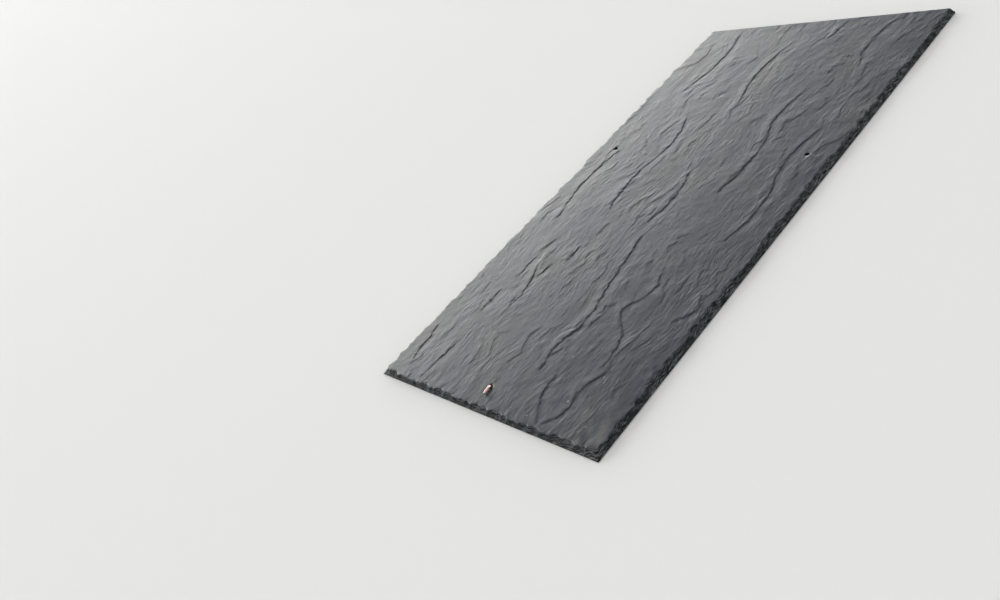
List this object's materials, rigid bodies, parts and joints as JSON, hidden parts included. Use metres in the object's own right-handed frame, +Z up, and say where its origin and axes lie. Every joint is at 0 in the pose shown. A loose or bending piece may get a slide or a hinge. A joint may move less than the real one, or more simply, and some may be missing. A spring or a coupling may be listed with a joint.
{
  "type": "slate roof tile",
  "caption": "Rectangular roofing slate with flaked, bevelled sides and tail, nail holes in its upper half and a copper disc rivet turned down on the tail.",
  "frame": {"origin": "centre of the slate's outline, on the level that it lies on", "axes": "+Z up from the back to the weathered face, +Y from the tail to the head, +X across the slate"},
  "size_m": [0.3, 0.6, 0.0087],
  "materials": {
    "slate": "satin",
    "copper": "satin"
  },
  "bodies": {
    "root": {"slate": "slate", "tail_rivet": "copper"}
  },
  "joints": []
}
